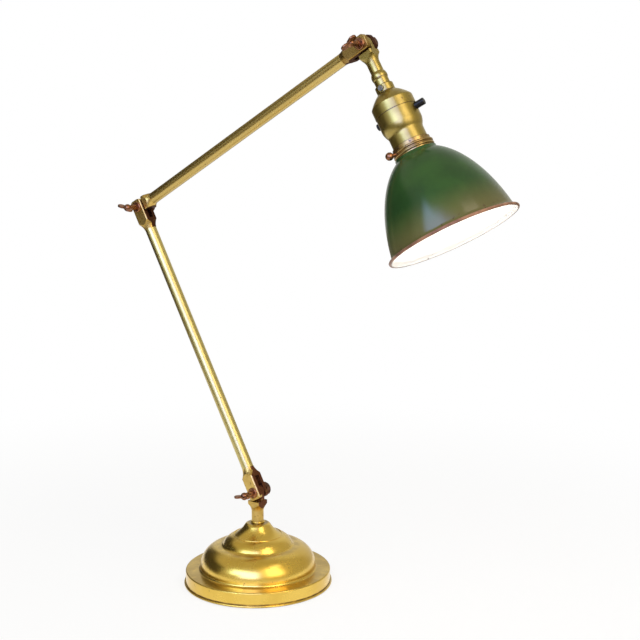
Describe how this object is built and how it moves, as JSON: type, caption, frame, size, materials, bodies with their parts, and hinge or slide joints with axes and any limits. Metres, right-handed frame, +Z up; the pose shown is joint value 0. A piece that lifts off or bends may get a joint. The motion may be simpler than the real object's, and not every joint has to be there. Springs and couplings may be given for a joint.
{
  "type": "architect lamp",
  "caption": "Jointed brass desk lamp: weighted round base, hinged tube arms with thumbscrews, tilting lamp socket with push switch and a green metal shade.",
  "frame": {"origin": "middle of the base's underside, on the surface it stands on", "axes": "+Z up; the arms swing in the XZ plane, the shade points to +X; thumbscrews are on the -Y side"},
  "size_m": [0.4583, 0.158, 0.57],
  "materials": {
    "base_brass": "polished",
    "arm_brass": "satin",
    "knuckle_brass": "satin",
    "socket_brass": "satin",
    "aged_copper": "satin",
    "shade_enamel": "gloss",
    "iron": "matte",
    "steel": "satin",
    "felt": "matte",
    "black_plastic": "satin",
    "socket_block": "satin",
    "card_liner": "matte",
    "bulb_metal": "satin",
    "frosted_glass": "gloss"
  },
  "bodies": {
    "base": {"base_shell": "base_brass", "base_weight": "iron", "base_pad": "felt", "base_washer": "steel", "base_locknut": "steel", "base_nipple": "steel", "base_collar": "base_brass", "cord_bushing": "black_plastic", "post": "knuckle_brass"},
    "lower_arm": {"lower_arm_foot_fork": "knuckle_brass", "lower_arm_tube": "arm_brass", "lower_arm_top_fork": "knuckle_brass", "base_joint_washers": "aged_copper", "base_cap_nut": "aged_copper", "elbow_joint_washers": "aged_copper", "elbow_cap_nut": "aged_copper"},
    "upper_arm": {"upper_arm_tang": "knuckle_brass", "upper_arm_tube": "arm_brass", "upper_arm_fork": "knuckle_brass", "head_joint_washers": "aged_copper", "head_cap_nut": "aged_copper"},
    "head": {"head_neck": "socket_brass", "socket_cap": "socket_brass", "socket_set_screw": "steel", "socket_shell": "socket_brass", "socket_liner": "card_liner", "socket_body": "socket_block", "socket_terminals": "socket_brass", "socket_screw_shell": "socket_brass", "socket_contact": "socket_brass", "shade_clamp": "aged_copper", "shade": "shade_enamel", "bulb_tip": "black_plastic", "bulb_base": "bulb_metal", "bulb_glass": "frosted_glass"},
    "base_thumbscrew": {"base_thumbscrew": "aged_copper"},
    "elbow_thumbscrew": {"elbow_thumbscrew": "aged_copper"},
    "head_thumbscrew": {"head_thumbscrew": "aged_copper"},
    "switch": {"switch_bar": "black_plastic"},
    "clamp_screw": {"shade_clamp_screw": "aged_copper"}
  },
  "joints": [
    {"name": "base_tilt", "type": "hinge", "parent": "base", "child": "lower_arm", "pos_m": [0, 0, 0.1], "axis": [0, 1, 0], "range_deg": [-46.8, 54.2]},
    {"name": "elbow_tilt", "type": "hinge", "parent": "lower_arm", "child": "upper_arm", "pos_m": [-0.1583, 0, 0.39524], "axis": [0, 1, 0], "range_deg": [-178.5, 6.5]},
    {"name": "head_tilt", "type": "hinge", "parent": "upper_arm", "child": "head", "pos_m": [0.13269, 0, 0.56122], "axis": [0, 1, 0], "range_deg": [-179.9, 5.1]},
    {"name": "base_thumbscrew_turn", "type": "hinge", "parent": "lower_arm", "child": "base_thumbscrew", "pos_m": [0, 0, 0.1], "axis": [0, -1, 0], "range_deg": [0, 360]},
    {"name": "elbow_thumbscrew_turn", "type": "hinge", "parent": "lower_arm", "child": "elbow_thumbscrew", "pos_m": [-0.1583, 0, 0.39524], "axis": [0, -1, 0], "range_deg": [0, 360]},
    {"name": "head_thumbscrew_turn", "type": "hinge", "parent": "upper_arm", "child": "head_thumbscrew", "pos_m": [0.13269, 0, 0.56122], "axis": [0, -1, 0], "range_deg": [0, 360]},
    {"name": "clamp_screw_turn", "type": "hinge", "parent": "head", "child": "clamp_screw", "pos_m": [0.18832, 0, 0.46407], "axis": [-0.4598, -0.848, -0.2634], "range_deg": [0, 360]},
    {"name": "switch_push", "type": "slide", "parent": "head", "child": "switch", "axis": [-0.8546, -0.1736, -0.4894], "range_m": [0, 0.0045]}
  ]
}
